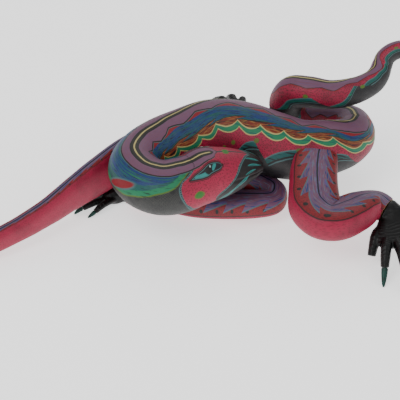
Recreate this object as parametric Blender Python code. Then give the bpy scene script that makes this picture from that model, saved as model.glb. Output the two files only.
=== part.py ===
"""Carved and painted wooden lizard: body, head, four legs, hands and feet with claws, and a pull-off tail.

The animal stands on its hands and claw tips at Z = 0. It walks towards -X, its left side faces -Y, and its neck
bends back so that the head looks along the left flank. Lengths below are millimetres; MM makes them metres.
"""

import math

import bmesh
import bpy
from mathutils import Vector

MM = 0.001
MIDDLE = (202.34, -4.14)  # middle of the figure's box, which becomes the origin, on the floor
GAP = 0.3                 # clearance between touching pieces
SOLE_SANDED_OFF = 1.2     # how far a hand's palm is carved below the floor before it is sanded flat
FLOOR_BLOCK = Vector((1500, 1000, 100))  # what the sanding takes away: wider than the figure, under the floor

BODY_SEGMENTS = 26
LIMB_SEGMENTS = 16
FINGER_SEGMENTS = 8
RINGS_PER_STATION = 2

LEG_DOWEL_RADIUS = 4.0
LEG_DOWEL_START = 0.35      # share of the way from a leg's first station to its second
LEG_DOWEL_END = 0.3         # share of the way from its third station to its fourth
ANKLE_DOWEL_RADIUS = 2.5
ANKLE_DOWEL_LENGTH_IN_LEG = 11.0
ANKLE_DOWEL_LENGTH_IN_FOOT = 9.0
NECK_DOWEL_RADIUS = 5.0
NECK_DOWEL_START = (-18, -1, 0)     # both ends are measured from the middle of the head's seam
NECK_DOWEL_END = (18, 5, 3)
TAIL_PEG_RADIUS = 5.0
TAIL_PEG_LENGTH_IN_RUMP = 26.0
TAIL_PEG_LENGTH_IN_TAIL = 16.0

# A station is the middle of a cross-section (x, y, z), its half-width and its half-height.
# The body runs from the tail's seam over the rump and shoulders and round the neck to the nose.
BODY = [
    (361, 38, 53, 21, 21), (357, 24, 54, 23, 23), (346, 13, 55, 26, 26), (325, 5, 55, 30, 29),
    (300, 1, 56, 33, 31), (270, 6, 61, 34, 34), (240, 14, 67, 34, 34), (210, 15, 69, 33, 33),
    (182, 6, 67, 31, 30), (160, -3, 64, 30, 28), (142, -17, 61, 28, 27), (134, -40, 60, 27, 27),
    (144, -61, 59, 29, 26), (162, -70, 58, 32, 26), (180, -67.5, 59.5, 32, 26), (193, -63.5, 62, 30.5, 25.5),
    (206, -58, 65, 30.5, 26.5), (220, -55, 66.5, 28, 25), (233, -51, 67, 24, 21.5), (245, -47, 67, 19, 16.5),
    (255, -45, 66, 13, 12), (263, -44, 65, 5, 5),
]
HEAD_SEAM = 14          # the station where the head is joined to the neck

TAIL = [
    (361, 38, 53, 21, 21), (356, 58, 49, 20.5, 20.5), (338, 71, 45, 20, 20), (315, 74, 44, 19.5, 19.5),
    (297, 72, 52, 19, 19), (290, 66, 71, 18, 18), (296, 60, 88, 17, 17.5), (312, 53, 93, 16, 16.5),
    (335, 48, 93, 15, 15), (360, 48, 98, 14, 14), (376, 51, 105, 12.5, 12.5), (384, 57, 111, 11.5, 11.5),
    (388, 65, 118, 10.5, 10.5), (392, 69, 126, 10, 10), (402, 70, 133, 9.5, 9.5), (417, 67, 136, 9, 9),
    (436, 59, 130, 8, 8), (453, 51, 120, 7, 7), (471, 47, 118, 5.5, 5.5), (484, 50, 128, 4, 4),
    (488, 57, 141, 2.5, 2.5), (486, 62, 150, 1.2, 1.2),
]

# Each leg starts inside the body. lean turns its flat face, in degrees, towards the side it bends to.
LEGS = {
    "front_left": dict(lean=0, square=2.6, stations=[
        (190, 0, 58, 13, 13), (208, -9, 48, 14, 14), (226, -15, 39, 14, 13), (246, -19, 31, 14, 12.5),
        (263, -21, 26, 14, 12), (275, -29, 23, 13.5, 12), (273, -42, 21, 13.5, 12), (258, -46, 21, 14.5, 13),
        (235, -45, 20, 15.5, 13.5), (200, -41, 17.5, 15, 12.5), (160, -29, 14, 11, 9.5),
        (127, -14, 9.5, 9.5, 7.5)]),
    "front_right": dict(lean=0, square=2.6, stations=[
        (150, 12, 54, 9, 19), (127, 5, 48, 9.5, 22), (105, -13, 41, 9.5, 23.5), (74, -44, 35.5, 9.5, 19.5),
        (48, -70, 29.5, 9.5, 15), (25, -88, 24.5, 9.5, 12.8), (0, -104, 19, 9.5, 11.8),
        (-22, -117, 14.5, 9, 10)]),
    "hind_left": dict(lean=14, square=3.0, stations=[
        (322, -4, 60, 19, 12), (318, -22, 60, 22, 13), (315, -44, 58, 24, 13.5), (314, -69, 54, 25, 14),
        (316, -92, 47, 28, 16), (329, -104, 42, 31, 16), (348, -94, 42, 28, 15), (363, -82, 42.5, 23, 13.5),
        (376, -75, 41, 17.5, 12), (386, -79.5, 37.5, 14.5, 11)]),
    "hind_right": dict(lean=-14, square=3.0, stations=[
        (300, 6, 56, 17, 12), (282, 25, 57, 17, 12.5), (262, 44, 57, 16.5, 12), (247, 57, 53, 15.5, 12),
        (242, 71, 46, 15, 11.5), (244, 84, 38, 13, 11), (248, 95, 31, 11.5, 10.5), (248, 105, 27, 10.5, 9.5)]),
}

# Each foot: where it joins the leg, the way it points in degrees from +X, which side its thumb is on, its size,
# and how high its knuckles are carried. A hand rests on its palm, and its thumb has a claw too.
FEET = {
    "front_left": dict(ankle=(127, -14, 9.5), points=177, thumb=-1, size=0.56, knuckle=8, hand=True),
    "front_right": dict(ankle=(-22, -117, 14.5), points=212, thumb=-1, size=0.74, knuckle=12, hand=True),
    "hind_left": dict(ankle=(386, -79.5, 37.5), points=-93, thumb=-1, size=0.93, knuckle=26, hand=False),
    "hind_right": dict(ankle=(248, 105, 27), points=135, thumb=1, size=0.68, knuckle=25, hand=False),
}
# Each finger, for a foot of size 1: where it leaves the palm, where its claw starts and where the claw ends,
# each as a distance forwards and a distance away from the thumb's side, and its half-width.
FINGERS = [
    ((28, -16), (56, -23), (69, -26), 5.8),
    ((42, -7), (76, -9), (93, -10), 5.8),
    ((44, 3), (95, 15), (113, 20), 5.8),
    ((41, 12), (84, 38), (99, 47), 5.6),
    ((33, 17), (60, 47), (73, 57), 5.2),
]
# The palm's sections: how far forwards, how far from the thumb's side, and the half-width, at size 1.
PALM = [(22, -1, 16.5), (34, -1, 19.5), (43, 0, 20), (51, 2, 15.5)]
HEEL_LENGTH = 10        # how far the foot runs on along the leg before it bends to its own way
PALM_THICKNESS = 10
PALM_THINS_BY = 0.42    # share of that thickness lost between the wrist and the knuckles
CLAW_TIP_HEIGHT = 0.6

LACQUER_BLACK = (0.012, 0.010, 0.013)
PAINT = {
    "body": ((0.52, 0.045, 0.085), 0.55), "leg": ((0.50, 0.045, 0.090), 0.55), "foot": (LACQUER_BLACK, 0.35),
    "claw": ((0.02, 0.14, 0.13), 0.4), "wood": ((0.62, 0.47, 0.30), 0.7),
}


def clear_scene():
    for thing in list(bpy.data.objects):
        bpy.data.objects.remove(thing)


def paint(name):
    colour, roughness = PAINT[name]
    material = bpy.data.materials.get(name) or bpy.data.materials.new(name)
    material.use_nodes = True
    shader = material.node_tree.nodes["Principled BSDF"]
    shader.inputs["Base Color"].default_value = (*colour, 1)
    shader.inputs["Roughness"].default_value = roughness
    return material


def smooth_path(stations, rings):
    """Stations with `rings` steps between each pair, on a curve through all of them."""
    result = []
    last = len(stations) - 1
    for i in range(last):
        before, here, there, after = (stations[max(0, min(last, i + k))] for k in (-1, 0, 1, 2))
        for step in range(rings):
            t = step / rings
            result.append([
                0.5 * (2 * b + (c - a) * t + (2 * a - 5 * b + 4 * c - d) * t**2
                       + (3 * b - a - 3 * c + d) * t**3)
                for a, b, c, d in zip(before, here, there, after)])
    result.append(list(stations[-1]))
    return result


def carved(name, stations, segments, square=2.0, lean=0.0, grow=0.0, look="body", first_way=None, part=None):
    """A closed piece through the stations. square 2 gives ovals, and more gives flatter faces.

    first_way sets the direction that the first section faces. part is the first and last station of the
    stretch to build, where the whole path is cut into pieces; a stretch starts GAP past its seam.
    """
    sections = smooth_path(stations, RINGS_PER_STATION)
    middles = [Vector(s[:3]) for s in sections]
    first, last = (k * RINGS_PER_STATION for k in part or (0, len(stations) - 1))
    mesh = bmesh.new()
    loops = []
    for i in range(first, last + 1):
        half_width, half_height = sections[i][3:]
        along = (middles[min(i + 1, len(middles) - 1)] - middles[max(i - 1, 0)]).normalized()
        if i == 0 and first_way:
            along = Vector(first_way).normalized()
        side = along.cross(Vector((0, 0, 1))).normalized()
        up = side.cross(along)
        turn = math.radians(lean)
        side, up = side * math.cos(turn) + up * math.sin(turn), up * math.cos(turn) - side * math.sin(turn)
        middle = middles[i] + along * (GAP if i == first else 0)
        ring = []
        for k in range(segments):
            angle = 2 * math.pi * k / segments
            across, rise = math.sin(angle), math.cos(angle)
            across = math.copysign(abs(across) ** (2 / square), across) * (half_width + grow)
            rise = math.copysign(abs(rise) ** (2 / square), rise) * (half_height + grow)
            ring.append(mesh.verts.new((middle + side * across + up * rise) * MM))
        loops.append(ring)
    for ring, following in zip(loops, loops[1:]):
        for k in range(segments):
            after = (k + 1) % segments
            mesh.faces.new((ring[k], ring[after], following[after], following[k]))
    mesh.faces.new(loops[0][::-1])
    mesh.faces.new(loops[-1])
    return finished(name, mesh, look)


def finished(name, mesh, look):
    """Turns the mesh into an object, stood on the floor with the middle of the figure at the origin."""
    bmesh.ops.recalc_face_normals(mesh, faces=mesh.faces)
    data = bpy.data.meshes.new(name)
    mesh.to_mesh(data)
    mesh.free()
    data.materials.append(paint(look))
    data.shade_smooth()
    data.set_sharp_from_angle(angle=math.radians(50))
    piece = bpy.data.objects.new(name, data)
    piece.location = (-MIDDLE[0] * MM, -MIDDLE[1] * MM, 0)
    bpy.context.collection.objects.link(piece)
    return piece


def rod(name, start, end, radius, look="wood", segments=12):
    """A straight round rod from start to end."""
    start, end = Vector(start), Vector(end)
    mesh = bmesh.new()
    bmesh.ops.create_cone(mesh, cap_ends=True, segments=segments, radius1=radius * MM, radius2=radius * MM,
                          depth=(end - start).length * MM)
    turn = (end - start).to_track_quat("Z", "Y").to_matrix()
    bmesh.ops.rotate(mesh, verts=mesh.verts, matrix=turn)
    bmesh.ops.translate(mesh, verts=mesh.verts, vec=(start + end) / 2 * MM)
    return finished(name, mesh, look)


def cut(piece, cutter, operation="DIFFERENCE"):
    cutter.hide_render = True
    cutter.display_type = "WIRE"
    boolean = piece.modifiers.new(cutter.name, "BOOLEAN")
    boolean.operation = operation
    boolean.object = cutter
    boolean.solver = "EXACT"


def dowelled(name, first, second, start, end, radius):
    """A dowel from start, in the first piece, to end, in the second, and its hole in both."""
    start, end = Vector(start), Vector(end)
    along = (end - start).normalized()
    dowel = rod(name, start, end, radius)
    hole = rod(name + "_hole", start - along * GAP, end + along * GAP, radius + GAP)
    cut(first, hole)
    cut(second, hole)
    return dowel


def sand_flat(piece):
    """Takes off what is below the floor, so that the piece stands on a flat face."""
    mesh = bmesh.new()
    bmesh.ops.create_cube(mesh, size=MM)
    bmesh.ops.scale(mesh, verts=mesh.verts, vec=FLOOR_BLOCK)
    bmesh.ops.translate(mesh, verts=mesh.verts, vec=Vector((*MIDDLE, -FLOOR_BLOCK.z / 2)) * MM)
    cut(piece, finished(piece.name + "_floor", mesh, "wood"))


def build_body():
    torso = carved("torso", BODY, BODY_SEGMENTS, first_way=(0, -1, 0), part=(0, HEAD_SEAM))
    head = carved("head", BODY, BODY_SEGMENTS, part=(HEAD_SEAM, len(BODY) - 1))
    seam = Vector(BODY[HEAD_SEAM][:3])
    start, end = seam + Vector(NECK_DOWEL_START), seam + Vector(NECK_DOWEL_END)
    dowelled("neck_dowel", torso, head, start, end, NECK_DOWEL_RADIUS)
    return torso


def build_tail(torso):
    """The tail, with its peg glued in. The peg and the tail come off the rump along +Y."""
    tail = carved("tail", TAIL, LIMB_SEGMENTS, first_way=(0, 1, 0))
    seam = Vector(TAIL[0][:3])
    peg_back = seam - Vector((0, TAIL_PEG_LENGTH_IN_RUMP, 0))
    peg_front = seam + Vector((0, TAIL_PEG_LENGTH_IN_TAIL, 0))
    dowelled("tail_peg", torso, tail, peg_back, peg_front, TAIL_PEG_RADIUS)


def build_leg(where, torso):
    shape = LEGS[where]
    stations = shape["stations"]
    leg = carved(where + "_leg", stations, LIMB_SEGMENTS, square=shape["square"], lean=shape["lean"],
                 look="leg")
    body_cutter = carved(where + "_body_cutter", BODY, BODY_SEGMENTS, grow=GAP, first_way=(0, -1, 0),
                         part=(0, HEAD_SEAM))
    cut(leg, body_cutter)
    middles = [Vector(station[:3]) for station in stations[:4]]
    start = middles[0].lerp(middles[1], LEG_DOWEL_START)
    end = middles[2].lerp(middles[3], LEG_DOWEL_END)
    dowelled(where + "_leg_dowel", torso, leg, start, end, LEG_DOWEL_RADIUS)
    return leg


def build_foot(where, leg):
    """The black hand or foot: a palm with five fingers in one carving, and its claws."""
    shape = FEET[where]
    ankle = Vector(shape["ankle"])
    size, knuckle = shape["size"], shape["knuckle"]
    heading = math.radians(shape["points"])
    forwards = Vector((math.cos(heading), math.sin(heading), 0))
    outwards = Vector((math.sin(heading), -math.cos(heading), 0)) * shape["thumb"]
    leg_end = [Vector(s[:3]) for s in LEGS[where]["stations"][-2:]]
    leg_way = (leg_end[1] - leg_end[0]).normalized()
    wrist_width, wrist_height = LEGS[where]["stations"][-1][3:]

    heel = ankle + leg_way * HEEL_LENGTH * size

    def spot(forward, outward, height):
        point = heel + (forwards * (forward - HEEL_LENGTH) + outwards * outward) * size
        return (point.x, point.y, height)

    palm_stations = [(*ankle, wrist_width * 0.94, wrist_height * 0.94),
                     (*heel, wrist_width * 0.86, wrist_height * 0.9)]
    for forward, outward, half_width in PALM:
        share = forward / PALM[-1][0]
        height = heel.z + (knuckle * 0.9 - heel.z) * share
        thickness = PALM_THICKNESS * size * (1 - PALM_THINS_BY * share)
        if shape["hand"]:
            thickness = height + SOLE_SANDED_OFF
        palm_stations.append((*spot(forward, outward, height), half_width * size, thickness))
    foot = carved(where + "_foot", palm_stations, LIMB_SEGMENTS, square=2.4, look="foot", first_way=leg_way)
    for number, (base, tip, end, half) in enumerate(FINGERS, 1):
        half *= size**0.5
        middle = [(a + b) / 2 for a, b in zip(base, tip)]
        tip_height = max(knuckle * 0.5, half + 0.8)
        inside = (base[0] * 0.8, base[1] * 0.7)
        finger_stations = [
            (*spot(*inside, knuckle * 0.84), half * 0.9, half * 0.85),
            (*spot(*base, knuckle * 0.94), half, half),
            (*spot(*middle, knuckle), half * 1.05, half),
            (*spot(*tip, tip_height), half * 0.8, half * 0.8)]
        finger = carved(f"{where}_finger_{number}", finger_stations, FINGER_SEGMENTS, look="foot")
        cut(foot, finger, "UNION")
        if number > 1 or shape["hand"]:
            build_claw(f"{where}_claw_{number}", spot(*tip, tip_height), spot(*middle, knuckle),
                       spot(*end, CLAW_TIP_HEIGHT), half * 0.66)
    sand_flat(foot)
    leg_shape = LEGS[where]
    leg_last = len(leg_shape["stations"]) - 1
    cut(foot, carved(where + "_leg_cutter", leg_shape["stations"], LIMB_SEGMENTS, square=leg_shape["square"],
                     lean=leg_shape["lean"], grow=GAP, part=(leg_last - 1, leg_last)))
    dowelled(where + "_foot_dowel", leg, foot, ankle - leg_way * ANKLE_DOWEL_LENGTH_IN_LEG,
             ankle + leg_way * ANKLE_DOWEL_LENGTH_IN_FOOT, ANKLE_DOWEL_RADIUS)


def build_claw(name, start, before, end, radius):
    """A claw that starts off its finger's tip, follows the finger's way and curves down to the floor."""
    start, before, end = Vector(start), Vector(before), Vector(end)
    way = (start - before).normalized()
    length = (end - start).length
    root = start + way * GAP
    bend = start + way * length * 0.4
    low = bend.lerp(end, 0.55)
    stations = [(*root, radius, radius), (*bend.lerp(root, 0.3), radius * 0.95, radius * 0.95),
                (*low, radius * 0.66, radius * 0.66), (*end, radius * 0.3, radius * 0.3)]
    sand_flat(carved(name, stations, FINGER_SEGMENTS, look="claw"))


def build_figure():
    clear_scene()
    torso = build_body()
    build_tail(torso)
    for where in LEGS:
        leg = build_leg(where, torso)
        build_foot(where, leg)


build_figure()
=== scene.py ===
"""Carved wooden lizard, painted by hand in fine bands, with its head turned back and its tail coiled up.

The body faces -X and its left flank -Y. Lengths below are millimetres, and MM turns them into metres.
"""

import math

import bmesh
import bpy
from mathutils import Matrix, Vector, noise


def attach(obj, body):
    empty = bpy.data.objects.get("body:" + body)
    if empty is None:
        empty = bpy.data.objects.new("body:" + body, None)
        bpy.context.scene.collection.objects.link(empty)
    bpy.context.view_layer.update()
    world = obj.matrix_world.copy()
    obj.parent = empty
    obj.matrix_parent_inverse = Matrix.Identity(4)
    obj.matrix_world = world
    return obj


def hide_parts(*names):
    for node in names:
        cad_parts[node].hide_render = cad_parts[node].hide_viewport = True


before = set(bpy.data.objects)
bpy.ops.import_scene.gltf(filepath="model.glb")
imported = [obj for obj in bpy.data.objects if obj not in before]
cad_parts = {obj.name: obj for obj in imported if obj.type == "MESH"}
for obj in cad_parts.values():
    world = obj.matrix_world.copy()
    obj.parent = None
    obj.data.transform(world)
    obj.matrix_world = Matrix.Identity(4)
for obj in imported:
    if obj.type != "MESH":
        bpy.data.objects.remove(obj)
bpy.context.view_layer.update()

MM = 0.001


# Torso and neck: one length of soft pale wood, carved round, sanded, and bent back at the neck. The rump is
# bored for the tail's peg. Shaping starts from the middles and half-sizes of the body's cross-sections.
MIDDLE = Vector((202.34, -4.14, 0))      # middle of the figure before it is stood on the origin
BODY = [
    (361, 38, 53, 21, 21), (357, 24, 54, 23, 23), (346, 13, 55, 26, 26), (325, 5, 55, 30, 29),
    (300, 1, 56, 33, 31), (270, 6, 61, 34, 34), (240, 14, 67, 34, 34), (210, 15, 69, 33, 33),
    (182, 6, 67, 31, 30), (160, -3, 64, 30, 28), (142, -17, 61, 28, 27), (134, -40, 60, 27, 27),
    (144, -61, 59, 29, 26), (162, -70, 58, 32, 26), (180, -67.5, 59.5, 32, 26), (193, -63.5, 62, 30.5, 25.5),
    (206, -58, 65, 30.5, 26.5), (220, -55, 66.5, 28, 25), (233, -51, 67, 24, 21.5), (245, -47, 67, 19, 16.5),
    (255, -45, 66, 13, 12), (263, -44, 65, 5, 5),
]
HEAD_SEAM = 14                           # the cross-section at which the neck ends and the head starts
PEG_RADIUS, PEG_HOLE_DEPTH, PEG_CLEARANCE = 5.0, 26.3, 0.3
EYE_ALONG, EYE_ACROSS = 360, 24          # its middle: millimetres from the rump, hundredths of the way round
EYE_START, EYE_LENGTH = 343, 34
KNIFE_MARK, KNIFE_MARKS_PER_MM = 0.35, 0.045
SHARPEST_CURVE = math.radians(50)


def smooth_path(stations, rings):
    """Stations with `rings` steps between each pair, on a curve through all of them."""
    result = []
    last = len(stations) - 1
    for i in range(last):
        before, here, there, after = (stations[max(0, min(last, i + k))] for k in (-1, 0, 1, 2))
        for step in range(rings):
            t = step / rings
            result.append([
                0.5 * (2 * b + (c - a) * t + (2 * a - 5 * b + 4 * c - d) * t**2
                       + (3 * b - a - 3 * c + d) * t**3)
                for a, b, c, d in zip(before, here, there, after)])
    result.append(list(stations[-1]))
    return result


def oval(angle, half_width, half_height, square):
    """A point of a cross-section: how far it is across and up. square 2 is an ellipse; more is boxier."""
    across, rise = math.sin(angle), math.cos(angle)
    return (math.copysign(abs(across) ** (2 / square), across) * half_width,
            math.copysign(abs(rise) ** (2 / square), rise) * half_height)


def carve(name, stations, rings, segments, left=1, square=2.0, lean=0.0, first_way=None, part=None,
          relief=None, ends=(True, True)):
    """A carved piece with a skin fine enough for its paint.

    Its map `grain` holds the distance along the piece and the distance across it from the back's middle, in
    metres, and its attribute `girth` half the distance round it. left is 1 where across grows to the
    animal's left, else -1. relief(along, across, girth) gives how far the surface stands proud.
    """
    sections = smooth_path(stations, rings)
    middles = [Vector(s[:3]) - MIDDLE for s in sections]
    first, last = (k * rings for k in part or (0, len(stations) - 1))
    mesh = bmesh.new()
    grain = mesh.loops.layers.uv.new("grain")
    girths = mesh.verts.layers.float.new("girth")
    loops, marks = [], []
    travelled = 0.0
    for i in range(last + 1):
        if i:
            travelled += (middles[i] - middles[i - 1]).length
        if i < first:
            continue
        half_width, half_height = sections[i][3:]
        along = (middles[min(i + 1, len(middles) - 1)] - middles[max(i - 1, 0)]).normalized()
        if i == 0 and first_way:
            along = Vector(first_way).normalized()
        side = along.cross(Vector((0, 0, 1))).normalized()
        up = side.cross(along)
        turn = math.radians(lean)
        side, up = side * math.cos(turn) + up * math.sin(turn), up * math.cos(turn) - side * math.sin(turn)
        outline = [oval(2 * math.pi * k / segments - math.pi, half_width, half_height, square)
                   for k in range(segments + 1)]
        lengths = [0.0]
        for here, there in zip(outline, outline[1:]):
            lengths.append(lengths[-1] + math.dist(here, there))
        girth = lengths[-1] / 2
        row, mark = [], []
        for k in range(segments + 1):
            across = (lengths[k] - girth) * left
            mark.append((travelled * MM, across * MM))
            if k == segments:
                row.append(row[0])
                continue
            point = side * outline[k][0] + up * outline[k][1]
            proud = KNIFE_MARK * noise.noise((middles[i] + point) * KNIFE_MARKS_PER_MM)
            if relief:
                proud += relief(travelled, across, girth)
            vertex = mesh.verts.new((middles[i] + point * (1 + proud / max(point.length, 2.0))) * MM)
            vertex[girths] = girth * MM
            row.append(vertex)
        loops.append(row)
        marks.append(mark)
    for i in range(len(loops) - 1):
        for k in range(segments):
            corners = [(i, k), (i, k + 1), (i + 1, k + 1), (i + 1, k)]
            face = mesh.faces.new([loops[a][b] for a, b in corners])
            for loop, (a, b) in zip(face.loops, corners):
                loop[grain].uv = marks[a][b]
    for row, mark, bare in ((loops[0], marks[0], ends[0]), (loops[-1], marks[-1], ends[1])):
        cap = mesh.faces.new(row[:-1])
        cap.material_index = 1 if bare else 0
        for loop in cap.loops:
            loop[grain].uv = mark[segments // 2]
    bmesh.ops.recalc_face_normals(mesh, faces=mesh.faces)
    data = bpy.data.meshes.new(name)
    mesh.to_mesh(data)
    mesh.free()
    data.shade_smooth()
    data.set_sharp_from_angle(angle=SHARPEST_CURVE)
    piece = bpy.data.objects.new(name, data)
    bpy.context.collection.objects.link(piece)
    return piece


PAINT_BRIGHTNESS, PAINT_DEPTH = 0.6, 3


def pot(code):
    """A pot of paint, from its six-digit colour code. It dries darker and deeper than the code says."""
    levels = [int(code[i:i + 2], 16) / 255 for i in (0, 2, 4)]
    return (*(PAINT_BRIGHTNESS * level ** PAINT_DEPTH for level in levels), 1)


INK, OLIVE, CHARCOAL = pot("100e14"), pot("2c2a1f"), pot("313136")
PINK, PINK_DARK, RED, MAROON = pot("d02c66"), pot("5c1026"), pot("b3203a"), pot("3c0a1c")
MAUVE, LILAC, RUST, SAND = pot("a0748e"), pot("8a7eb4"), pot("a3461f"), pot("c99a58")
BLUE, NAVY, TEAL, GREEN = pot("145a9c"), pot("0c1c38"), pot("15807e"), pot("1aa87c")
YELLOW, LEAF, RIM, PALE_TEAL = pot("eadb9c"), pot("7b9a3e"), pot("6f9698"), pot("50b4b0")


class Number:
    """A number that varies over a painted surface, so that paint is laid out with plain arithmetic."""

    def __init__(self, socket):
        self.socket = socket
        self.tree = socket.id_data

    def put(self, operation, *others):
        node = self.tree.nodes.new("ShaderNodeMath")
        node.operation = operation
        for socket, value in zip(node.inputs, (self, *others)):
            feed(value, socket)
        return Number(node.outputs[0])

    def __add__(self, other):
        return self.put("ADD", other)

    def __sub__(self, other):
        return self.put("SUBTRACT", other)

    def __mul__(self, other):
        return self.put("MULTIPLY", other)

    def __truediv__(self, other):
        return self.put("DIVIDE", other)

    def __pow__(self, other):
        return self.put("POWER", other)

    def __and__(self, other):
        return self.put("MULTIPLY", other)

    def __or__(self, other):
        return self.put("MAXIMUM", other)

    def __abs__(self):
        return self.put("ABSOLUTE")

    def __invert__(self):
        return self.put("MULTIPLY_ADD", -1, 1)

    def least(self, other):
        return self.put("MINIMUM", other)

    def saw(self, period):
        """Rises from 0 to 1 over each period, then falls back at once."""
        return (self / period).put("FRACT")

    def arc(self, period):
        """0 where two periods meet and 1 between them, along a rounded arch that leans to its start."""
        swing = self.saw(period) ** 0.75 * 2 - 1
        return ~(swing * swing)

    def zigzag(self, period):
        """Straight from 0 up to 1 and back again over each period."""
        return (self / period * 2).put("PINGPONG", 1)

    def past(self, at, soft=0.3, sides=(0, 1)):
        """1 where this number is over `at`, else 0, with a short soft edge."""
        node = self.tree.nodes.new("ShaderNodeMapRange")
        node.interpolation_type = "SMOOTHSTEP"
        fixed = 0 if isinstance(at, Number) else at
        feed(self - at if isinstance(at, Number) else self, node.inputs["Value"])
        node.inputs["From Min"].default_value = fixed - soft
        node.inputs["From Max"].default_value = fixed + soft
        node.inputs["To Min"].default_value = sides[0]
        node.inputs["To Max"].default_value = sides[1]
        return Number(node.outputs["Result"])

    def under(self, at, soft=0.3):
        return self.past(at, soft, sides=(1, 0))

    def between(self, low, high, soft=0.3):
        return self.past(low, soft) & self.under(high, soft)

    def near(self, at, half, soft=0.3):
        return abs(self - at).under(half, soft)

    def read(self, points):
        """The height over this number of the smooth curve through the points."""
        left, right = points[0][0], points[-1][0]
        top = max(height for _, height in points) or 1
        node = self.tree.nodes.new("ShaderNodeFloatCurve")
        curve = node.mapping.curves[0]
        for place, height in points[1:-1]:
            curve.points.new((place - left) / (right - left), height / top)
        for point, (place, height) in zip(curve.points, points):
            point.location = ((place - left) / (right - left), height / top)
            point.handle_type = "AUTO_CLAMPED"
        node.mapping.update()
        feed((self - left) / (right - left), node.inputs["Value"])
        return Number(node.outputs["Value"]) * top


def feed(value, socket):
    """Join a number or another node's output to a socket, or set the socket to a plain value."""
    source = value.socket if isinstance(value, Number) else value
    if isinstance(source, bpy.types.NodeSocket):
        socket.id_data.links.new(source, socket)
    else:
        socket.default_value = source


def empty_finish(name):
    """A new material, its tree and its shader."""
    material = bpy.data.materials.new(name)
    material.use_nodes = True
    return material, material.node_tree, material.node_tree.nodes["Principled BSDF"]


def laid_over(tree, ground, colour, mask):
    """The ground with a colour over it where the mask is 1."""
    mix = tree.nodes.new("ShaderNodeMix")
    mix.data_type = "RGBA"
    for value, place in ((mask, 0), (ground, 6), (colour, 7)):   # the mixer's factor, A and B for colours
        feed(value, mix.inputs[place])
    return mix.outputs[2]


def clouds(place, scale, detail=2):
    """Cloudy noise from 0 to 1, laid out by the vector in place."""
    node = place.id_data.nodes.new("ShaderNodeTexNoise")
    node.inputs["Scale"].default_value = scale
    node.inputs["Detail"].default_value = detail
    feed(place, node.inputs["Vector"])
    return Number(node.outputs["Fac"])


def roughen(shader, height, depth, strength=0.6):
    """Small relief over the whole surface, its depth in millimetres."""
    relief = shader.id_data.nodes.new("ShaderNodeBump")
    relief.inputs["Strength"].default_value = strength
    relief.inputs["Distance"].default_value = depth * MM
    feed(height, relief.inputs["Height"])
    feed(relief.outputs["Normal"], shader.inputs["Normal"])


class Paintwork:
    """A painted material: its ground, then coats laid over it wherever their masks are 1.

    along, across and girth are the piece's own measures in millimetres, with the waver of a hand-held brush.
    """

    def __init__(self, name, ground, waver=0.7):
        self.material, tree, self.shader = empty_finish(name)
        self.tree = tree
        self.place = tree.nodes.new("ShaderNodeTexCoord").outputs["Object"]
        marks = tree.nodes.new("ShaderNodeUVMap")
        marks.uv_map = "grain"
        split = tree.nodes.new("ShaderNodeSeparateXYZ")
        tree.links.new(marks.outputs["UV"], split.inputs[0])
        girth = tree.nodes.new("ShaderNodeAttribute")
        girth.attribute_name = "girth"
        self.along = Number(split.outputs["X"]) / MM + (self.noise(14, 2) - 0.5) * 2 * waver
        self.across = Number(split.outputs["Y"]) / MM + (self.noise(9, 2, 7) - 0.5) * 2 * waver
        self.girth = Number(girth.outputs["Fac"]) / MM
        self.ground = ground

    def noise(self, size, detail=2, seed=0, at=None):
        """Cloudy noise from 0 to 1 with lumps of this size. at is (x, y) to lay it along the piece."""
        node = self.tree.nodes.new("ShaderNodeTexNoise")
        node.inputs["Detail"].default_value = detail
        if at:
            node.inputs["Scale"].default_value = 1
            gather = self.tree.nodes.new("ShaderNodeCombineXYZ")
            feed(at[0], gather.inputs[0])
            feed(at[1], gather.inputs[1])
            feed(float(seed), gather.inputs[2])
            self.tree.links.new(gather.outputs[0], node.inputs["Vector"])
        else:
            node.noise_dimensions = "4D"
            node.inputs["W"].default_value = seed
            node.inputs["Scale"].default_value = 1 / (size * MM)
            self.tree.links.new(self.place, node.inputs["Vector"])
        return Number(node.outputs["Fac"])

    def specks(self, size, radius, seed=0):
        """Scattered round specks, one to each square of this size."""
        gather = self.tree.nodes.new("ShaderNodeCombineXYZ")
        feed(self.along / size + seed, gather.inputs[0])
        feed(self.across / size, gather.inputs[1])
        node = self.tree.nodes.new("ShaderNodeTexVoronoi")
        node.voronoi_dimensions = "2D"
        node.inputs["Scale"].default_value = 1
        self.tree.links.new(gather.outputs[0], node.inputs["Vector"])
        return Number(node.outputs["Distance"]).under(radius / size, 0.12)

    def hatch(self, step, half):
        """Fine lines crossing each other on the slant."""
        one = (self.along + self.across).zigzag(step).under(half, 0.15)
        return one | (self.along - self.across).zigzag(step).under(half, 0.15)

    def blob(self, along, away, where, length, width, lean=0):
        """1 inside an ellipse. where is its middle in (along, away), and lean turns it, in degrees."""
        x, y = along - where[0], away - where[1]
        sine, cosine = math.sin(math.radians(lean)), math.cos(math.radians(lean))
        far = ((x * cosine + y * sine) / length) ** 2 + ((y * cosine - x * sine) / width) ** 2
        return far.under(1, 0.25)

    def coat(self, mask, colour):
        self.ground = laid_over(self.tree, self.ground, colour, mask)

    def finish(self):
        """Uneven cover, dust in the hollows of the grain, brush marks, and a satin surface."""
        cover = self.noise(5, 4, 3)
        self.coat(cover.past(0.62, 0.12) * 0.11, INK)
        self.coat(self.noise(0.9, 3, 5).past(0.63, 0.1) * 0.08, pot("b9a7a0"))
        strokes = self.noise(1, 3, 11, at=(self.along / 7, self.across / 0.45))
        pores = self.noise(0.55, 2, 13)
        feed(self.ground, self.shader.inputs["Base Color"])
        feed(self.noise(3, 3, 17) * 0.22 + 0.44, self.shader.inputs["Roughness"])
        roughen(self.shader, strokes * 0.6 + pores * 0.4 + cover * 0.5, 0.12)
        return self.material


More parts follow.
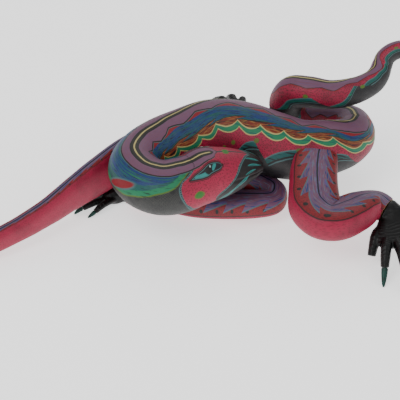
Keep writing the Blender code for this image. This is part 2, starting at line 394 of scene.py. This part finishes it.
def body_material():
    """The bands of the back, the flanks, the neck and the face. The far side repeats the near one."""
    paint = Paintwork("body_paint", CHARCOAL)
    along, coat = paint.along, paint.coat
    # The painted spine wanders off the top of the back, towards the right flank over the shoulders.
    away = paint.across / paint.girth * 100 + along.read(
        [(0, 0), (27, 4), (78, 25), (141, 21), (177, 12), (210, 4), (240, 0), (430, 0)])
    left = away.past(0, 0.2)
    neck = along.past(235, 14)
    outer = ~left & neck
    away = abs(away) * (~(~left & ~neck) * -0.25 + 1.25)
    streaks = paint.noise(1, 3, 21, at=(along / 26, away / 1.5))
    fine_streaks = paint.noise(1, 2, 23, at=(along / 9, away / 0.8))

    # Belly and throat: charcoal, with a net of fine grey lines.
    coat(paint.hatch(1.7, 0.2) * 0.35 & paint.noise(11, 2, 25).past(0.4, 0.16), pot("8d8f8d"))
    coat(paint.noise(16, 2, 27).past(0.56, 0.08) * 0.4 & away.past(62), NAVY)

    # Flanks: crimson with dark specks, ending below in flames with a double rim.
    flame = (along + away * 0.8).saw(41) ** 1.6 * 15 + along.read(
        [(0, 56), (120, 56), (155, 72), (235, 72), (262, 56), (430, 56)])
    coat(away.under(flame + 7.5), RIM)
    coat(away.under(flame + 6.5), INK)
    coat(away.under(flame + 5), TEAL)
    coat(away.under(flame + 5) & streaks.past(0.55, 0.05), NAVY)
    coat(away.under(flame + 1.2), RIM)
    coat(away.under(flame), PINK)
    coat(away.under(flame) & paint.noise(20, 2, 29).past(0.5, 0.12) * 0.3, MAROON)
    coat(away.under(flame) & paint.specks(1.9, 0.5) * 0.75, PINK_DARK)

    # Two rows of scallops, rust above the first and green between them, edged in yellow.
    upper, lower = along.arc(24) * 6 + 39, (along + 3).arc(24) * 6 + 45.5
    coat(away.under(lower), YELLOW)
    coat(away.under(lower - 1.1), GREEN)
    coat(away.under(lower - 1.1) & streaks.past(0.57, 0.06), TEAL)
    coat(away.under(upper + 0.6), YELLOW)
    coat(away.under(upper - 0.6), RUST)
    coat(away.under(upper - 0.7) & fine_streaks.past(0.55, 0.05), SAND)
    coat(away.under(upper - 1) & streaks.past(0.58, 0.04), MAROON)

    # Blue feathers, dark between them, with teal where they thin out.
    feathers = (along - away * 2.2).saw(31) * 5 + 33
    coat(away.under(feathers + 1), INK)
    coat(away.under(feathers), TEAL)
    coat(away.under(feathers - 1) & streaks.past(0.47, 0.07), BLUE)
    coat(away.under(feathers) & fine_streaks.past(0.61, 0.04), NAVY)
    coat(away.under(feathers) & fine_streaks.under(0.36, 0.03), pot("4b7f8c"))

    # Outer side of the neck: blue running into green, a red drop, and the netted charcoal below it.
    swell = along.read([(230, 50), (262, 53), (288, 53), (305, 46), (320, 36), (335, 25), (354, 12),
                        (430, 0)])
    coat(outer, CHARCOAL)
    coat(outer & paint.hatch(1.5, 0.22) * 0.45 & paint.noise(9, 2, 31).past(0.38, 0.14), pot("94978f"))
    coat(outer & away.under(swell), LEAF)
    coat(outer & away.under(swell - 1.6), GREEN)
    coat(outer & away.under(swell - 8) & streaks.past(0.36, 0.08), TEAL)
    coat(outer & away.under(swell * 0.68) & streaks.past(0.46, 0.08), BLUE)
    coat(outer & away.under(swell) & fine_streaks.past(0.62, 0.04), NAVY)
    coat(outer & away.under(swell) & streaks.under(0.34, 0.03), pot("3c9c78"))
    for grow, colour in ((1.5, RIM), (0, RED)):
        coat(outer & paint.blob(along, away, (292, 42), 13 + grow, 4 + grow, -45), colour)

    # Stripe down the spine: mauve with a maroon zigzag edge, an olive-black band and a yellow line in it.
    tip = along.read([(0, 60), (300, 60), (318, 17), (345, 15), (364, 13), (373, 8), (377, 0), (430, 0)])
    inner_edge = along.read([(0, 22), (60, 22), (110, 17), (200, 14), (240, 17), (430, 17)])
    wave = inner_edge + along.zigzag(31) * 6
    edge = (wave + outer * ((wave - 16) * -1)).least(tip)
    coat(away.under(inner_edge + 6.5) & ~outer & along.under(300, 8), RED)
    coat(away.under(edge + 1.7), RIM)
    coat(away.under(edge + 1), MAROON)
    coat(away.under(edge - 0.6), MAUVE)
    coat(away.under(edge - 0.6) & fine_streaks.past(0.6, 0.06) * 0.35, LILAC)
    band = along.read([(0, 5), (345, 5), (366, 4.4), (372, 2), (374, 0), (430, 0)])
    coat(away.under(band + 0.7) & along.under(373), NAVY)
    coat(away.under(band) & along.under(373), OLIVE)
    coat(away.near(band * 0.5, 0.35) & along.under(366), pot("4a4634"))
    coat(away.under(0.95) & along.under(370, 1), YELLOW)

    # Face: crimson as far as the mouth, inside a grey ticked edge, and a dark muzzle with teal strokes.
    back = away.read([(0, 352), (8, 352), (14, 350), (20, 344), (28, 334), (36, 330), (44, 331), (56, 336),
                      (70, 346), (78, 400), (100, 400)])
    front = away.read([(0, 407), (12, 401), (25, 394), (38, 388), (50, 379), (62, 367), (76, 349),
                       (100, 340)])
    muzzle = along.past(front)
    coat(muzzle, INK)
    coat(muzzle & streaks.past(0.62, 0.04) * 0.6, CHARCOAL)
    for where, length, width, lean in (((409, 13), 7.5, 2.2, -10), ((411, 26), 9, 2.4, -14),
                                       ((405, 39), 8, 1.9, -22), ((393, 52), 12, 2.1, -35),
                                       ((377, 66), 13, 2.2, -48)):
        coat(paint.blob(along, away, where, length, width, lean), PALE_TEAL)
        coat(paint.blob(along, away, (where[0] - 2, where[1] + 1.2), length * 0.7, width * 0.45, lean), TEAL)
    face = along.past(back) & along.under(front) & away.past(tip + 1.4)
    coat((along.near(back, 1.5) | along.near(front, 1.5)) & away.under(76) & away.past(tip + 1.4), RIM)
    coat((along.near(back, 0.5) | along.near(front, 0.5)) & away.under(76) & away.zigzag(2.2).past(0.4), NAVY)
    coat(along.past(back + 1.2) & along.under(front - 1.2) & away.past(tip + 1.4), PINK)
    coat(face & paint.specks(2.1, 0.5, 4) * 0.6, PINK_DARK)
    for grow, colour in ((1.1, LEAF), (0, pot("4c9a3c"))):
        coat(paint.blob(along, away, (346, 46), 3.4 + grow, 3.4 + grow), colour)
        coat(paint.blob(along, away, (384, 2), 2 + grow, 2 + grow), colour)
    for where in ((12, 45), (79, 57), (118, 55), (144, 61), (155, 66), (200, 60)):
        coat(paint.blob(along, away, where, 2.4, 2.4) * 0.85, LEAF)

    # Eye: an almond, pointed behind and round in front, under a maroon brow, with a painted highlight: a
    # near-white glint on its dark middle.
    lid_line = away + (along - EYE_ALONG) * 0.14
    run = ((along - EYE_START) / EYE_LENGTH).put("MINIMUM", 1).put("MAXIMUM", 0)
    lid = run ** 0.85 * (~run) ** 0.35 * 12
    inside = abs(lid_line - EYE_ACROSS)
    in_eye = along.between(EYE_START - 1.5, EYE_START + EYE_LENGTH + 1.5, 0.2)
    coat(in_eye & inside.under(lid + 2.6), MAROON)
    coat(in_eye & inside.under(lid + 1.7), PINK)
    coat(in_eye & inside.under(lid + 1.2), INK)
    coat(in_eye & inside.under(lid - 0.3), RIM)
    coat(in_eye & inside.under(lid - 1.2), NAVY)
    coat(inside.under(lid - 1.2) & along.between(347, 360) & (lid_line - along * 0.12).past(-19.5), PALE_TEAL)
    coat(inside.under(lid - 1.3) & paint.blob(along, lid_line, (364, 23), 6.5, 6), INK)
    coat(inside.under(lid - 1.6) & paint.blob(along, lid_line, (370, 23.5), 1.9, 4.6, 25), PALE_TEAL)
    # Painted highlight: a near-white dot that stands in for a lamp's glint on the eye.
    coat(inside.under(lid - 1.6) & paint.blob(along, lid_line, (366, 21.5), 1, 1.4), pot("d5e8e4"))
    return paint.finish()


def bare_wood():
    """Soft pale wood as the tool leaves it, with its grain along the animal's depth."""
    material, tree, shader = empty_finish("bare_copal_wood")
    place = tree.nodes.new("ShaderNodeTexCoord").outputs["Object"]
    stretch = tree.nodes.new("ShaderNodeMapping")
    stretch.inputs["Scale"].default_value = (900, 70, 900)
    feed(place, stretch.inputs["Vector"])
    fibre = clouds(stretch.outputs["Vector"], 1, 4)
    fleck = fibre.past(0.5, 0.16) * 0.7 + clouds(place, 120) * 0.3
    feed(laid_over(tree, pot("d9bd8c"), pot("b08a58"), fleck), shader.inputs["Base Color"])
    feed(fibre * 0.25 + 0.6, shader.inputs["Roughness"])
    roughen(shader, fibre, 0.15, strength=0.5)
    return material


def bore(piece, start, end, radius):
    """A drilled hole, with bare wood inside."""
    start, end = Vector(start) - MIDDLE, Vector(end) - MIDDLE
    bpy.ops.mesh.primitive_cylinder_add(vertices=48, radius=radius * MM, depth=(end - start).length * MM,
                                        location=(start + end) / 2 * MM,
                                        rotation=(end - start).to_track_quat("Z", "Y").to_euler())
    drill = bpy.context.object
    for material in piece.data.materials:
        drill.data.materials.append(material)
    for face in drill.data.polygons:
        face.material_index = 1
    hole = piece.modifiers.new("bore", "BOOLEAN")
    hole.object = drill
    hole.solver = "EXACT"
    bpy.context.view_layer.objects.active = piece
    bpy.ops.object.modifier_apply(modifier=hole.name)
    bpy.data.objects.remove(drill)


body_paint, wood = body_material(), bare_wood()


def dress(piece, *materials):
    for material in materials:
        piece.data.materials.append(material)
    return piece


torso = dress(carve("carved_torso", BODY, 20, 128, left=-1, first_way=(0, -1, 0), part=(0, HEAD_SEAM)),
              body_paint, wood)
rump_end = BODY[0][:3]
bore(torso, Vector(rump_end) + Vector((0, 5, 0)), Vector(rump_end) - Vector((0, PEG_HOLE_DEPTH, 0)),
     PEG_RADIUS + PEG_CLEARANCE)
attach(torso, "figure")
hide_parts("torso")


# Head: the same wood, joined to the neck with a dowel at a seam that the paint covers. The eyeball, the brow,
# the nostril and the mouth are carved before it is painted.
def head_relief(along, across, girth):
    """How far the head's features stand proud, the same on both sides."""
    share = abs(across) / girth * 100
    eye = math.exp(-((along - EYE_ALONG) / 13) ** 2 - ((share - EYE_ACROSS) / 7.5) ** 2)
    brow = math.exp(-((along - EYE_ALONG - 2) / 17) ** 2 - ((share - EYE_ACROSS + 10.5) / 3.5) ** 2)
    mouth_line = 47 + 0.10 * (along - 395)
    mouth = math.exp(-((share - mouth_line) / 2.0) ** 2) / (1 + math.exp((386 - along) / 2.5))
    nostril = math.exp(-((along - 417) / 1.6) ** 2 - ((share - 22) / 3.0) ** 2)
    return 1.5 * eye + 0.9 * brow - 1.3 * mouth - 1.0 * nostril


head = dress(carve("carved_head", BODY, 30, 128, left=-1, part=(HEAD_SEAM, len(BODY) - 1),
                   relief=head_relief, ends=(True, False)), body_paint, wood)
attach(head, "figure")
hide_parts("head")


# Tail: a tapering length bent into a coil over the rump. It isn't glued, and pulls off the rump with its peg.
TAIL = [
    (361, 38, 53, 21, 21), (356, 58, 49, 20.5, 20.5), (338, 71, 45, 20, 20), (315, 74, 44, 19.5, 19.5),
    (297, 72, 52, 19, 19), (290, 66, 71, 18, 18), (296, 60, 88, 17, 17.5), (312, 53, 93, 16, 16.5),
    (335, 48, 93, 15, 15), (360, 48, 98, 14, 14), (376, 51, 105, 12.5, 12.5), (384, 57, 111, 11.5, 11.5),
    (388, 65, 118, 10.5, 10.5), (392, 69, 126, 10, 10), (402, 70, 133, 9.5, 9.5), (417, 67, 136, 9, 9),
    (436, 59, 130, 8, 8), (453, 51, 120, 7, 7), (471, 47, 118, 5.5, 5.5), (484, 50, 128, 4, 4),
    (488, 57, 141, 2.5, 2.5), (486, 62, 150, 1.2, 1.2),
]


def tail_material():
    """The back's stripe and the crimson flanks run on, thinner, to the tail's tip."""
    paint = Paintwork("tail_paint", CHARCOAL)
    along, coat = paint.along, paint.coat
    # The ridge line leans to the animal's right where the tail lies over the rump.
    away = abs(paint.across / paint.girth * 100 + along.read(
        [(0, 0), (170, 2), (215, 15), (300, 15), (345, 2), (378, 0)]))
    streaks = paint.noise(1, 3, 21, at=(along / 22, away / 1.7))
    coat(paint.hatch(1.7, 0.2) * 0.4 & paint.noise(11, 2, 25).past(0.45, 0.16), pot("7d807f"))
    flame = (along * -1 + away * 0.9).saw(56) ** 1.4 * 18 + along.read(
        [(0, 46), (180, 46), (212, 22), (235, 27), (258, 44), (378, 46)])
    coat(away.under(flame + 10), RIM)
    coat(away.under(flame + 8.6), INK)
    coat(away.under(flame + 7) & streaks.past(0.4, 0.06), TEAL)
    coat(away.under(flame + 7) & streaks.past(0.6, 0.05), GREEN)
    coat(away.under(flame + 1.8), RIM)
    coat(away.under(flame), PINK)
    coat(away.under(flame) & paint.noise(17, 2, 29).past(0.5, 0.12) * 0.35, MAROON)
    coat(away.under(flame) & paint.specks(1.9, 0.5) * 0.75, PINK_DARK)
    for where in ((22, 38), (60, 42), (104, 40), (148, 44), (205, 42), (262, 40), (318, 40)):
        coat(paint.blob(along, away, where, 2.3, 4), LEAF)
    edge = along.zigzag(27) * 7 + 19
    coat(away.under(edge + 4) & along.saw(13.5).under(0.55), RED)
    coat(away.under(edge + 1.4), MAROON)
    coat(away.under(edge), MAUVE)
    coat(away.under(edge) & streaks.past(0.57, 0.06) * 0.4, LILAC)
    coat(away.under(6.2), INK)
    coat(away.under(4.2) & streaks.past(0.4, 0.1), OLIVE)
    coat(away.under(1.6), YELLOW)
    return paint.finish()


tail = dress(carve("carved_tail", TAIL, 14, 72, left=1, first_way=(0, 1, 0), ends=(True, False)),
             tail_material(), wood)
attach(tail, "tail")
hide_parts("tail")


# Legs: four bent lengths with flattened sides, doweled into the body. Each has a face of mauve flames over
# red along its top, and plain crimson sides.
LEGS = {
    "front_left": dict(lean=0, square=2.6, face=0.62, stations=[
        (190, 0, 58, 13, 13), (208, -9, 48, 14, 14), (226, -15, 39, 14, 13), (246, -19, 31, 14, 12.5),
        (263, -21, 26, 14, 12), (275, -29, 23, 13.5, 12), (273, -42, 21, 13.5, 12), (258, -46, 21, 14.5, 13),
        (235, -45, 20, 15.5, 13.5), (200, -41, 17.5, 15, 12.5), (160, -29, 14, 11, 9.5),
        (127, -14, 9.5, 9.5, 7.5)]),
    "front_right": dict(lean=0, square=2.6, face=0.12, stations=[
        (150, 12, 54, 9, 19), (127, 5, 48, 9.5, 22), (105, -13, 41, 9.5, 23.5), (74, -44, 35.5, 9.5, 19.5),
        (48, -70, 29.5, 9.5, 15), (25, -88, 24.5, 9.5, 12.8), (0, -104, 19, 9.5, 11.8),
        (-22, -117, 14.5, 9, 10)]),
    "hind_left": dict(lean=14, square=3.0, face=0.37, stations=[
        (322, -4, 60, 19, 12), (318, -22, 60, 22, 13), (315, -44, 58, 24, 13.5), (314, -69, 54, 25, 14),
        (316, -92, 47, 28, 16), (329, -104, 42, 31, 16), (348, -94, 42, 28, 15), (363, -82, 42.5, 23, 13.5),
        (376, -75, 41, 17.5, 12), (386, -79.5, 37.5, 14.5, 11)]),
    "hind_right": dict(lean=-14, square=3.0, face=0.37, stations=[
        (300, 6, 56, 17, 12), (282, 25, 57, 17, 12.5), (262, 44, 57, 16.5, 12), (247, 57, 53, 15.5, 12),
        (242, 71, 46, 15, 11.5), (244, 84, 38, 13, 11), (248, 95, 31, 11.5, 10.5),
        (248, 105, 27, 10.5, 9.5)]),
}


def leg_material(name, face, flames):
    """face is the painted face's share of the way round the leg, and flames the flames' share of the face."""
    paint = Paintwork(name, PINK, waver=0.5)
    along, across, coat = paint.along, paint.across, paint.coat
    away = abs(across) / (paint.girth * face)
    streaks = paint.noise(1, 3, 21, at=(along / 12, across / 1.4))
    coat(paint.noise(20, 2, 29).past(0.55, 0.12) * 0.25, MAROON)
    coat(paint.specks(1.8, 0.42) * 0.4, PINK_DARK)
    coat(away.under(1, 0.03), INK)
    coat(away.under(0.95, 0.02), RED)
    coat(away.under(0.95, 0.02) & paint.specks(1.7, 0.45, 3) * 0.6, PINK_DARK)
    spots = (along + 5).saw(15) * 15 - 7.5
    coat((spots ** 2 + ((away - 0.76) / 0.085) ** 2 * 2.2).under(2.4, 0.5), INK)
    flame = (along - away * 12).saw(19)
    edge = flame ** 1.3 * 0.34 + flames
    coat(away.under(edge + 0.07, 0.02), RIM)
    coat(away.under(edge + 0.02, 0.02), LILAC)
    coat(away.under(edge, 0.03) & flame.past(0.45, 0.1), BLUE)
    coat(away.under(edge, 0.03) & streaks.past(0.46, 0.06) * 0.85, MAUVE)
    coat(away.under(edge * 0.66, 0.03), MAUVE)
    coat(away.under(edge * 0.66, 0.03) & streaks.past(0.57, 0.05) * 0.7, pot("8fa3bd"))
    coat(away.under(edge * 0.8, 0.03) & streaks.under(0.4, 0.04) * 0.6, BLUE)
    coat(abs(across).under(1.35, 0.25), LILAC)
    coat(abs(across).under(0.85, 0.25), INK)
    return paint.finish()


leg_paints = {face: leg_material(name, face, flames) for name, face, flames in
              (("leg_paint", 0.37, 0.34), ("arm_paint", 0.62, 0.42), ("narrow_arm_paint", 0.12, 0.3))}
for where, shape in LEGS.items():
    leg = dress(carve(f"carved_{where}_leg", shape["stations"], 14, 80, square=shape["square"],
                      lean=shape["lean"]), leg_paints[shape["face"]], wood)
    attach(leg, "figure")
    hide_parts(where + "_leg")


# Hands and feet: black, with rings cut across the fingers and the knuckles. The claws are separate pegs of
# wood, painted teal. Each is the plain shape with its edges softened.
ANKLES = {"front_left": (127, -14), "front_right": (-22, -117), "hind_left": (386, -79.5),
          "hind_right": (248, 105)}
RING_STEP, RING_DEPTH, RINGS_START, RINGS_DEEPEN_OVER = 3.6, 0.38, 16, 8


def softened(node, name, cell, passes):
    """A copy of a plain piece with a fine even skin and rounded edges."""
    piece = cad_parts[node].copy()
    piece.data = piece.data.copy()
    piece.name = name
    bpy.context.collection.objects.link(piece)
    bpy.ops.object.select_all(action="DESELECT")
    piece.select_set(True)
    bpy.context.view_layer.objects.active = piece
    bpy.ops.object.mode_set(mode="EDIT")
    bpy.ops.mesh.select_all(action="SELECT")
    bpy.ops.mesh.remove_doubles(threshold=0.01 * MM)
    bpy.ops.object.mode_set(mode="OBJECT")
    remesh = piece.modifiers.new("skin", "REMESH")
    remesh.mode = "VOXEL"
    remesh.voxel_size = cell * MM
    bpy.ops.object.modifier_apply(modifier="skin")
    smooth = piece.modifiers.new("sanded", "SMOOTH")
    smooth.factor = 0.5
    smooth.iterations = passes
    bpy.ops.object.modifier_apply(modifier="sanded")
    piece.data.shade_smooth()
    piece.data.materials.clear()
    return piece


def cut_rings(foot, ankle):
    """Grooves across the fingers, at even steps from the ankle."""
    centre = (Vector((*ankle, 0)) - MIDDLE) * MM
    normals = [vertex.normal.copy() for vertex in foot.data.vertices]
    for vertex, normal in zip(foot.data.vertices, normals):
        reach = math.hypot(vertex.co.x - centre.x, vertex.co.y - centre.y) / MM
        waver = noise.noise(vertex.co * 90) * 1.6
        groove = max(0, math.cos((reach + waver) / RING_STEP * 2 * math.pi)) ** 3
        started = min(1, max(0, (reach - RINGS_START) / RINGS_DEEPEN_OVER)) * max(0, normal.z + 0.5)
        vertex.co -= normal * groove * started * RING_DEPTH * MM


def lacquer(name, colour, dull, roughness):
    """Two thin coats, worn through to a duller tone, with the marks of the brush."""
    material, tree, shader = empty_finish(name)
    place = tree.nodes.new("ShaderNodeTexCoord").outputs["Object"]

    def patches(size, detail=3):
        return clouds(place, 1 / (size * MM), detail)

    thin = patches(4).past(0.56, 0.12) * 0.6 + patches(0.8).past(0.6, 0.08) * 0.3
    feed(laid_over(tree, colour, dull, thin), shader.inputs["Base Color"])
    shader.inputs["Specular IOR Level"].default_value = 0.35
    feed(patches(2.5) * 0.3 + (roughness - 0.15), shader.inputs["Roughness"])
    roughen(shader, patches(1.2, 4) + patches(0.35, 2) * 0.4, 0.15)
    return material


black_lacquer = lacquer("black_foot_paint", pot("0c0b0e"), pot("1c1b1f"), 0.42)
teal_lacquer = lacquer("teal_claw_paint", pot("136a60"), pot("0c463f"), 0.4)
for where, ankle in ANKLES.items():
    foot = dress(softened(where + "_foot", f"carved_{where}_foot", 0.85, 6), black_lacquer)
    cut_rings(foot, ankle)
    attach(foot, "figure")
    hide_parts(where + "_foot")
    for number in range(1, 6):
        node = f"{where}_claw_{number}"
        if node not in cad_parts:
            continue
        claw = dress(softened(node, "carved_" + node, 0.5, 8), teal_lacquer)
        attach(claw, "figure")
        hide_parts(node)


# Dowels and peg: birch-pale rods, hidden but for the tail's peg when the tail is off. They keep their plain
# shape and take the bare wood's finish.
for node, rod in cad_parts.items():
    if node.endswith(("_dowel", "_peg")):
        rod.data.materials.clear()
        rod.data.materials.append(wood)


# The floor, the lamps and the camera: a pale surface under soft light, seen from a little above the flank.
ELEVATION = math.radians(35)
CAMERA_DISTANCE = 2.5
VIEW_WIDTH = 0.4
SENSOR = 36.0
AIM = (Vector((200, -80.48, 50)) - MIDDLE) * MM
FLOOR_WIDTH = 12

bpy.ops.object.select_all(action="DESELECT")
bpy.ops.mesh.primitive_plane_add(size=FLOOR_WIDTH)
floor = bpy.context.object
floor.name = "floor"
pale, _, pale_shader = empty_finish("pale_floor")
pale_shader.inputs["Base Color"].default_value = (0.95, 0.95, 0.95, 1)
pale_shader.inputs["Roughness"].default_value = 0.9
pale_shader.inputs["Emission Color"].default_value = (1, 1, 1, 1)
pale_shader.inputs["Emission Strength"].default_value = 1.0
floor.data.materials.append(pale)


def lamp(name, place, size, power):
    light = bpy.data.lights.new(name, "AREA")
    light.energy = power
    light.size = size
    body = bpy.data.objects.new(name, light)
    body.location = place
    body.rotation_euler = (AIM - Vector(place)).to_track_quat("-Z", "Y").to_euler()
    bpy.context.collection.objects.link(body)


lamp("key", (-0.7, -0.9, 1.5), 0.9, 11)
lamp("fill", (1.3, -1.0, 0.9), 1.2, 3.5)
lamp("back", (0.2, 1.4, 1.2), 1.2, 5)
sky = bpy.data.worlds.new("studio")
sky.use_nodes = True
sky.node_tree.nodes["Background"].inputs["Color"].default_value = (1, 1, 1, 1)
sky.node_tree.nodes["Background"].inputs["Strength"].default_value = 0.6
bpy.context.scene.world = sky

lens = bpy.data.cameras.new("camera")
lens.sensor_width = SENSOR
lens.lens = SENSOR * CAMERA_DISTANCE / VIEW_WIDTH
camera = bpy.data.objects.new("camera", lens)
camera.location = AIM + Vector((0, -math.cos(ELEVATION), math.sin(ELEVATION))) * CAMERA_DISTANCE
camera.rotation_euler = (math.pi / 2 - ELEVATION, 0, 0)
bpy.context.collection.objects.link(camera)
bpy.context.scene.camera = camera
